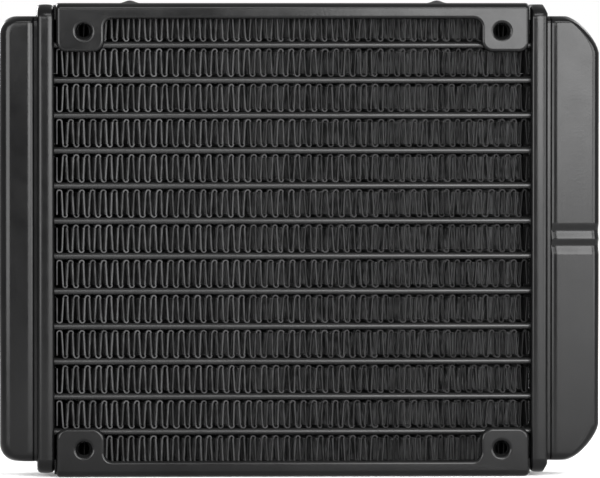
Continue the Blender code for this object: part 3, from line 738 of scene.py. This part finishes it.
def build_header(node, side, chamfer, material):
    """A pressed tray with a slot in its floor for each tube."""
    bm = bmesh.new()
    add_loft(bm, [placed(ring, side, HEADER_INNER) for ring in header_rings()])
    header = add_object("pressed_" + node, mesh_from(bm, node + "_fine"))

    bm = bmesh.new()
    y = HEADER_DEPTH + CUT_MARGIN
    for end in (-1, 1):
        inner = HEADER_WIDTH - chamfer[0]
        outer = HEADER_WIDTH + CUT_MARGIN
        low = end * (HEADER_HEIGHT - chamfer[1])
        high = end * (HEADER_HEIGHT + CUT_MARGIN)
        wedge = [(inner, end * HEADER_HEIGHT), (HEADER_WIDTH, low), (outer, low), (outer, high),
                 (inner, high)]
        add_prism(bm, placed([(px, -y, pz) for px, pz in wedge], side, HEADER_INNER),
                  (0.0, 2 * side * y, 0.0))
    apply_boolean(header, bm, 'DIFFERENCE')

    bm = bmesh.new()
    pocket = rounded_rectangle(TANK_DEPTH - JOGGLE_DEPTH + SEAT_GAP, TANK_HEIGHT + SEAT_GAP,
                               TANK_CORNER_RADIUS)
    add_prism(bm, placed([(HEADER_PLATE, py, pz) for py, pz in pocket], side, HEADER_INNER),
              (side * HEADER_WIDTH, 0.0, 0.0))
    apply_boolean(header, bm, 'DIFFERENCE')

    bm = bmesh.new()
    oval = flat_oval(TUBE_NOSE + SEAT_GAP, TUBE_THICKNESS + 2 * SEAT_GAP)
    for i in range(TUBE_COUNT):
        low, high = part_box(f"tube_{i + 1:02d}")
        rise = (low.z + high.z) / 2 - MIDDLE_Z
        points = [(-CUT_MARGIN, py, pz + rise) for py, pz in oval]
        add_prism(bm, placed(points, side, HEADER_INNER),
                  (side * (HEADER_PLATE + 2 * CUT_MARGIN), 0.0, 0.0))
    apply_boolean(header, bm, 'DIFFERENCE')
    finish_piece(header, material, "black_paint", node)


def groove_at(z):
    """Depth, from 0 to 1, of the pair of soft grooves at a height from the tank's middle."""
    half = GROOVE_SPACING / 2
    total = 0.0
    for shift in (-1, 0, 1):
        from_groove = abs(abs(z + shift * GROOVE_SOFTNESS) - half)
        total += max(0.0, 1.0 - from_groove / half) / 3
    return total


def end_inset(distance, width, height, fullness):
    """How far a tank's side has drawn in, at a distance from the tank's end."""
    along = 1.0 - min(distance / height, 1.0)
    return width * (1.0 - (1.0 - along ** fullness) ** (1.0 / fullness))


def rim_side(wall, rim, body, limit):
    """The joggle between the tank's thin rim and its body, as (x, y) points."""
    start = JOGGLE_START + wall
    run = min(JOGGLE_END - JOGGLE_START, limit - start)
    if run < JOGGLE_SHORTEST:
        start = JOGGLE_TIGHT_START * limit
        run = JOGGLE_TIGHT_RUN * limit
    points = []
    for i in range(FINE_STEPS // 2 + 1):
        angle = pi / 2 * i / (FINE_STEPS // 2)
        points.append((start + run * (1 - cos(angle)), rim + (body - rim) * sin(angle)))
    return points


def tank_rings(reach, end_curve, edge_radius, wall, grooved):
    """Sections through a tank from its lower to its upper end, shrunk by a wall thickness."""
    half_height = TANK_HEIGHT - wall
    end_width, end_height, fullness = end_curve
    end_width -= wall
    end_height -= wall
    edge_radius -= wall
    near = TANK_SEAT - (CUT_MARGIN if wall else 0.0)
    ends = {end_height * (1 - sin(pi / 2 * i / FINE_STEPS)) for i in range(FINE_STEPS + 1)}
    corner = TANK_CORNER_RADIUS - wall
    ends |= {corner * (1 - sin(pi / 2 * i / FINE_STEPS)) for i in range(1, FINE_STEPS)}
    heights = [half_height - end for end in sorted(ends)]
    span = GROOVE_SPACING + GROOVE_SOFTNESS
    middle = [span * i / GROOVE_STEPS for i in range(-GROOVE_STEPS, GROOVE_STEPS + 1)]
    rings = []
    for z in [-height for height in heights] + (middle if grooved else []) + heights[::-1]:
        end = half_height - abs(z)
        groove = groove_at(z) if grooved else 0.0
        far = (reach - wall - end_inset(end, end_width, end_height, fullness)
               - GROOVE_SIDE_DEPTH * groove)
        half_depth = TANK_DEPTH - wall - arc_inset(end, corner)
        rim = half_depth - JOGGLE_DEPTH
        body = half_depth - GROOVE_DEPTH * groove
        x = far - edge_radius
        y = body - edge_radius
        side = [(near, rim)] + rim_side(wall, rim, body, JOGGLE_LIMIT * x)
        ring = [(px, -py) for px, py in side]
        ring += arc((x, -y), edge_radius, -90, 0, FINE_STEPS)
        ring += arc((x, y), edge_radius, 0, 90, FINE_STEPS)
        ring += side[::-1]
        rings.append([(px, py, z) for px, py in ring])
    return rings


def build_tank(node, side, reach, end_curve, edge_radius, grooved, material):
    """A pressed cap with soft edges, open towards its header."""
    bm = bmesh.new()
    rings = tank_rings(reach, end_curve, edge_radius, 0.0, grooved)
    add_loft(bm, [placed(ring, side, HEADER_OUTER) for ring in rings])
    bmesh.ops.remove_doubles(bm, verts=bm.verts, dist=WELD_DISTANCE)
    tank = add_object("pressed_" + node, mesh_from(bm, node + "_fine"))
    bm = bmesh.new()
    rings = tank_rings(reach, end_curve, edge_radius, TANK_WALL, grooved)
    add_loft(bm, [placed(ring, side, HEADER_OUTER) for ring in rings])
    bmesh.ops.remove_doubles(bm, verts=bm.verts, dist=WELD_DISTANCE)
    apply_boolean(tank, bm, 'DIFFERENCE')
    if grooved:
        bm = bmesh.new()
        radius = BARB_STEM_RADIUS + SEAT_GAP
        for end in (-1, 1):
            hole = [(0.0, -2 * TANK_WALL), (radius, -2 * TANK_WALL), (radius, TANK_WALL),
                    (0.0, TANK_WALL)]
            add_turned(bm, hole, port_place(end), closed=False)
        apply_boolean(tank, bm, 'DIFFERENCE')
    finish_piece(tank, material, "black_paint", node)


# ---------------------------------------------------------------- hose barbs

def port_place(end):
    """Where a hose barb stands: height zero on the tank's back face, its axis along +Y."""
    low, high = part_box("inlet_barb")
    spot = ((low.x + high.x) / 2, TANK_DEPTH, MIDDLE_Z + end * PORT_OFFSET)
    return Matrix.Translation(spot) @ Matrix.Rotation(-pi / 2, 4, 'X')


def build_barb(node, end, material):
    """A turned hose barb with a flange, two sharp ridges and a through bore."""
    soft = BARB_EDGE_RADIUS
    shoulder = SEAT_GAP + BARB_FLANGE_THICKNESS
    profile = [(BARB_BORE_RADIUS, -TANK_WALL), (BARB_STEM_RADIUS, -TANK_WALL),
               (BARB_STEM_RADIUS, SEAT_GAP), (BARB_FLANGE_RADIUS - soft, SEAT_GAP)]
    for center, first, last in (((BARB_FLANGE_RADIUS - soft, SEAT_GAP + soft), -90, 0),
                                ((BARB_FLANGE_RADIUS - soft, shoulder - soft), 0, 90),
                                ((BARB_STEM_RADIUS + soft, shoulder + soft), 270, 180)):
        profile += arc(center, soft, first, last, SMALL_ARC_STEPS)
    foot = shoulder + BARB_NECK_LENGTH
    for _ in range(BARB_RIDGES):
        profile += [(BARB_STEM_RADIUS, foot), (BARB_RIDGE_RADIUS - BARB_RIDGE_BREAK, foot),
                    (BARB_RIDGE_RADIUS, foot + BARB_RIDGE_BREAK),
                    (BARB_STEM_RADIUS, foot + BARB_RIDGE_LENGTH)]
        foot += BARB_RIDGE_LENGTH
    tip = foot + BARB_TIP_LENGTH
    profile += arc((BARB_STEM_RADIUS - soft, tip - soft), soft, 0, 90, SMALL_ARC_STEPS)
    profile += arc((BARB_BORE_RADIUS + soft, tip - soft), soft, 90, 180, SMALL_ARC_STEPS)
    bm = bmesh.new()
    add_turned(bm, profile, port_place(end), closed=True)
    barb = add_object("turned_" + node, mesh_from(bm, node + "_fine"))
    finish_piece(barb, material, "black_paint", node)


# ---------------------------------------------------------------- side channels

def channel_section():
    """Section in YZ: a web on top and a deep lip at each side, with round bends."""
    y = CHANNEL_DEPTH - CHANNEL_BEND_RADIUS
    z = HALF_HEIGHT - CHANNEL_BEND_RADIUS
    inner = CHANNEL_BEND_RADIUS - CHANNEL_SHEET
    inside = CHANNEL_DEPTH - CHANNEL_SHEET
    outer_line = ([(CHANNEL_DEPTH, TAB_TIP)] + arc((y, z), CHANNEL_BEND_RADIUS, 0, 90, FINE_STEPS)
                  + arc((-y, z), CHANNEL_BEND_RADIUS, 90, 180, FINE_STEPS)
                  + [(-CHANNEL_DEPTH, TAB_TIP)])
    inner_line = ([(-inside, TAB_TIP)] + arc((-y, z), inner, 180, 90, FINE_STEPS // 2)
                  + arc((y, z), inner, 90, 0, FINE_STEPS // 2) + [(inside, TAB_TIP)])
    return outer_line + inner_line


def notch_outline():
    """Outline in XZ of the metal taken out between two tabs."""
    top = HALF_HEIGHT - LIP_HEIGHT
    corner = TAB_CORNER_RADIUS
    fillet = NOTCH_FILLET_RADIUS
    right = [(NOTCH_SIDE + corner, TAB_TIP - CUT_MARGIN)]
    right += arc((NOTCH_SIDE + corner, TAB_TIP + corner), corner, 270, 180, FINE_STEPS)
    right += arc((NOTCH_SIDE - fillet, top - fillet), fillet, 0, 90, FINE_STEPS)
    return right + [(-x, z) for x, z in reversed(right)]


def tab_end_outline(side):
    """Outline in XZ of the metal taken off the outer corner of the tabs at one end."""
    corner = TAB_END_CORNER_RADIUS
    points = [(CHANNEL_END - corner, TAB_TIP - CUT_MARGIN)]
    points += arc((CHANNEL_END - corner, TAB_TIP + corner), corner, 270, 360, FINE_STEPS)
    points += [(CHANNEL_END + CUT_MARGIN, TAB_TIP + corner),
               (CHANNEL_END + CUT_MARGIN, TAB_TIP - CUT_MARGIN)]
    return [(side * x, z) for x, z in points]


def roll_edges(channel):
    """Round the sheet's cut edges: widely on the outer side and a little on the inner side."""
    bm = bmesh.new()
    bm.from_mesh(channel.data)
    weight = bm.edges.layers.float.new("bevel_weight_edge")
    inside = CHANNEL_DEPTH - CHANNEL_SHEET / 2
    below = HALF_HEIGHT - CHANNEL_SHEET / 2
    reach_y = CHANNEL_DEPTH - CHANNEL_BEND_RADIUS
    reach_z = HALF_HEIGHT - CHANNEL_BEND_RADIUS
    for edge in bm.edges:
        if len(edge.link_faces) == 2 and edge.calc_face_angle() > CUT_EDGE_ANGLE:
            middle = (edge.verts[0].co + edge.verts[1].co) / 2
            corner = Vector((abs(middle.y) - reach_y, middle.z - reach_z))
            if corner.x > 0 and corner.y > 0:
                outer = corner.length > CHANNEL_BEND_RADIUS - CHANNEL_SHEET / 2
            else:
                outer = abs(middle.y) > inside or middle.z > below
            edge[weight] = 1.0 if outer else CHANNEL_EDGE_BREAK / CHANNEL_EDGE_ROLL
    bm.to_mesh(channel.data)
    bm.free()
    modifier = channel.modifiers.new("edges", 'BEVEL')
    modifier.width = CHANNEL_EDGE_ROLL
    modifier.segments = CHANNEL_EDGE_SEGMENTS
    modifier.limit_method = 'WEIGHT'
    settle(channel)


def hole_profile():
    """Half section of a tapped hole: a rolled mouth, then threads to the collar's end."""
    bottom = -CHANNEL_SHEET - COLLAR_LENGTH - CUT_MARGIN
    ridge = HOLE_RADIUS - THREAD_DEPTH
    points = [(0.0, bottom), (ridge, bottom)]
    height = bottom
    while height + THREAD_PITCH < -HOLE_MOUTH_DEPTH:
        points += [(radius, height + share * THREAD_PITCH)
                   for radius, share in zip((ridge, HOLE_RADIUS, ridge), THREAD_POINTS)]
        height += THREAD_PITCH
    width = HOLE_MOUTH_RADIUS - HOLE_RADIUS
    for i in range(FINE_STEPS // 2 + 1):
        angle = pi / 2 * i / (FINE_STEPS // 2)
        points.append((HOLE_MOUTH_RADIUS - width * cos(angle),
                       -HOLE_MOUTH_DEPTH * (1 - sin(angle))))
    return points + [(HOLE_MOUTH_RADIUS + SMALL_LIP, CUT_MARGIN), (0.0, CUT_MARGIN)]


def build_channel(node, side, material):
    """A side channel bent from sheet, with fan tabs, drawn collars and tapped holes."""
    turn = Matrix.Translation((0.0, 0.0, CHANNEL_MIDDLE_Z))
    if side < 0:
        turn = turn @ Matrix.Rotation(pi, 4, 'Y')
    bm = bmesh.new()
    add_prism(bm, [(-CHANNEL_END, y, z) for y, z in channel_section()],
              (2 * CHANNEL_END, 0.0, 0.0))
    channel = add_object("bent_" + node, mesh_from(bm, node + "_fine"))
    bm = bmesh.new()
    depth = CHANNEL_DEPTH + CUT_MARGIN
    for outline in (notch_outline(), tab_end_outline(-1), tab_end_outline(1)):
        add_prism(bm, [(x, -depth, z) for x, z in outline], (0.0, 2 * depth, 0.0))
    apply_boolean(channel, bm, 'DIFFERENCE')
    roll_edges(channel)

    collars = bmesh.new()
    holes = bmesh.new()
    deep = -CHANNEL_SHEET - COLLAR_LENGTH
    soft = COLLAR_EDGE_RADIUS
    collar = ([(0.0, deep)]
              + arc((COLLAR_RADIUS - soft, deep + soft), soft, -90, 0, SMALL_ARC_STEPS)
              + [(COLLAR_RADIUS, -CHANNEL_SHEET / 2), (0.0, -CHANNEL_SHEET / 2)])
    for face in (-1, 1):
        for end in (-1, 1):
            spot = (end * FAN_HOLE_OFFSET, face * CHANNEL_DEPTH, FAN_HOLE_OFFSET)
            place = Matrix.Translation(spot) @ Matrix.Rotation(-face * pi / 2, 4, 'X')
            add_turned(collars, collar, place, closed=False)
            add_turned(holes, hole_profile(), place, closed=False)
    # Rolled edges meet in the channel's corners, where only this solver is steady
    apply_boolean(channel, collars, 'UNION', 'MANIFOLD')
    apply_boolean(channel, holes, 'DIFFERENCE', 'MANIFOLD')
    if side > 0:
        add_dimples(channel)
    add_lugs(channel)
    channel.data.transform(turn)
    finish_piece(channel, material, "black_paint", node)


def add_lugs(channel):
    """L-shaped lugs on each end of the web, at two depths, that fill the slit by the header."""
    bm = bmesh.new()
    bm.from_mesh(channel.data)
    low = HALF_HEIGHT - CHANNEL_SHEET + LUG_GAP
    high = HALF_HEIGHT - CHANNEL_SHEET / 2
    for end in (-1, 1):
        inner = end * (CHANNEL_END - LUG_OVERLAP)
        step = end * (CHANNEL_END + LUG_GAP)
        outer = end * (HEADER_INNER - LUG_GAP)
        outline = [(inner, low), (step, low), (step, low - LUG_DROP), (outer, low - LUG_DROP),
                   (outer, high), (inner, high)]
        for y in (-LUG_DEPTHS[1], LUG_DEPTHS[0]):
            add_prism(bm, [(x, y, z) for x, z in outline],
                      (0.0, LUG_DEPTHS[1] - LUG_DEPTHS[0], 0.0))
    bmesh.ops.recalc_face_normals(bm, faces=bm.faces)
    bm.to_mesh(channel.data)
    bm.free()


def add_dimples(channel):
    """Two low domes with flared skirts, pressed up from inside the web."""
    for sunk, operation in ((0.0, 'UNION'), (CHANNEL_SHEET, 'DIFFERENCE')):
        profile = [(DIMPLE_RADIUS * i / FINE_STEPS,
                    DIMPLE_HEIGHT * (1 + cos(pi * i / FINE_STEPS)) / 2)
                   for i in range(FINE_STEPS)]
        profile += [(DIMPLE_RADIUS, -SMALL_LIP), (DIMPLE_RADIUS, -CHANNEL_SHEET / 2),
                    (0.0, -CHANNEL_SHEET / 2)]
        bm = bmesh.new()
        for x in DIMPLE_POSITIONS:
            place = Matrix.Translation((x, 0.0, HALF_HEIGHT - sunk))
            add_turned(bm, profile, place, closed=False)
        apply_boolean(channel, bm, operation, 'MANIFOLD')


# ---------------------------------------------------------------- studio

def add_softbox(name, position, target, width, height, power):
    """A rectangular soft light aimed at a point."""
    data = bpy.data.lights.new(name, 'AREA')
    data.shape = 'RECTANGLE'
    data.size = width
    data.size_y = height
    data.energy = power
    light = bpy.data.objects.new(name, data)
    light.location = position
    aim = Vector(target) - Vector(position)
    light.rotation_euler = aim.to_track_quat('-Z', 'Y').to_euler()
    light.visible_camera = False
    bpy.context.scene.collection.objects.link(light)


def build_world():
    """White where the camera and reflections look, and a soft grey for the fill light."""
    world = bpy.data.worlds.new("studio")
    bpy.context.scene.world = world
    world.use_nodes = True
    nodes = world.node_tree.nodes
    links = world.node_tree.links
    nodes.clear()
    path = nodes.new("ShaderNodeLightPath")
    seen = path.outputs["Is Camera Ray"]
    for ray in ("Is Glossy Ray", "Is Transmission Ray"):
        seen = maths(nodes, links, 'MAXIMUM', seen, path.outputs[ray])
    mix = nodes.new("ShaderNodeMixShader")
    links.new(seen, mix.inputs["Fac"])
    for socket, strength in ((1, WORLD_FILL), (2, WORLD_SEEN)):
        background = nodes.new("ShaderNodeBackground")
        background.inputs["Color"].default_value = WHITE
        background.inputs["Strength"].default_value = strength
        links.new(background.outputs["Background"], mix.inputs[socket])
    output = nodes.new("ShaderNodeOutputWorld")
    links.new(mix.outputs["Shader"], output.inputs["Surface"])


def build_floor():
    """A plain pale floor just under the radiator, a little brighter to the camera."""
    bm = bmesh.new()
    bmesh.ops.create_grid(bm, x_segments=1, y_segments=1, size=FLOOR_HALF_SIZE)
    floor = add_object("floor", mesh_from(bm, "floor"))
    floor.location = (0.0, 0.0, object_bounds()[0].z - FLOOR_CLEARANCE)
    material, nodes, links, shader, coordinate = start_material("pale_floor")
    grain = noise_node(nodes, links, coordinate, FLOOR_GRAIN_SCALE)
    links.new(grey_mix(nodes, links, grain, *FLOOR_GREYS), shader.inputs["Base Color"])
    shader.inputs["Roughness"].default_value = FLOOR_ROUGHNESS
    path = nodes.new("ShaderNodeLightPath")
    distance = nodes.new("ShaderNodeVectorMath")
    distance.operation = 'LENGTH'
    links.new(coordinate, distance.inputs[0])
    glow = ranged(nodes, links, distance.outputs["Value"], *FLOOR_LIFT_REACH, *FLOOR_LIFT)
    lift = maths(nodes, links, 'MULTIPLY', path.outputs["Is Camera Ray"], glow)
    shader.inputs["Emission Color"].default_value = WHITE
    links.new(lift, shader.inputs["Emission Strength"])
    floor.data.materials.append(material)


def build_camera():
    """Almost straight on to the front face, framed as the photograph is."""
    data = bpy.data.cameras.new("camera")
    data.sensor_fit = 'HORIZONTAL'
    data.sensor_width = SENSOR_WIDTH
    aim = IMAGE_CENTRE - CAMERA_PLACE
    data.lens = SENSOR_WIDTH * aim.length * PX_PER_METRE / IMAGE_WIDTH_PX
    data.clip_start = CAMERA_NEAR
    camera = bpy.data.objects.new("camera", data)
    camera.location = CAMERA_PLACE
    camera.rotation_euler = aim.to_track_quat('-Z', 'Y').to_euler()
    bpy.context.scene.collection.objects.link(camera)
    bpy.context.scene.camera = camera


# ---------------------------------------------------------------- assembly

paint = satin_paint("satin_black_paint", PAINT_GREYS, PAINT_ROUGHNESS, PAINT_SPECULAR)
tube_paint = satin_paint("tube_black_paint", TUBE_GREYS, TUBE_ROUGHNESS, TUBE_SPECULAR)
fin_black = fin_coating("fin_black_coating")
aluminium = mill_aluminium("mill_finish_aluminium")

for index in range(TUBE_COUNT):
    build_tube(f"tube_{index + 1:02d}", tube_paint)
for index in range(FIN_STRIP_COUNT):
    build_fin(f"fin_strip_{index + 1:02d}", index + 1, fin_black)
build_header("left_header", -1, LEFT_HEADER_CHAMFER, paint)
build_header("right_header", 1, RIGHT_HEADER_CHAMFER, paint)
build_tank("left_tank", -1, LEFT_REACH, LEFT_TANK_END, LEFT_TANK_EDGE_RADIUS, False, paint)
build_tank("right_tank", 1, RIGHT_REACH, RIGHT_TANK_END, RIGHT_TANK_EDGE_RADIUS, True, paint)
build_barb("inlet_barb", 1, paint)
build_barb("outlet_barb", -1, paint)
build_channel("upper_side_channel", 1, paint)
build_channel("lower_side_channel", -1, paint)

# These three show little and keep their plain solids
for node, material in (("upper_core_plate", tube_paint), ("lower_core_plate", tube_paint),
                       ("tank_baffle", aluminium)):
    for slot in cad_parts[node].material_slots:
        slot.material = material

build_floor()
build_world()
for light_name, light_position, light_width, light_height, light_power in SOFTBOXES:
    add_softbox(light_name, light_position, LIGHT_TARGET, light_width, light_height, light_power)
build_camera()
bpy.context.scene.view_settings.view_transform = 'Standard'
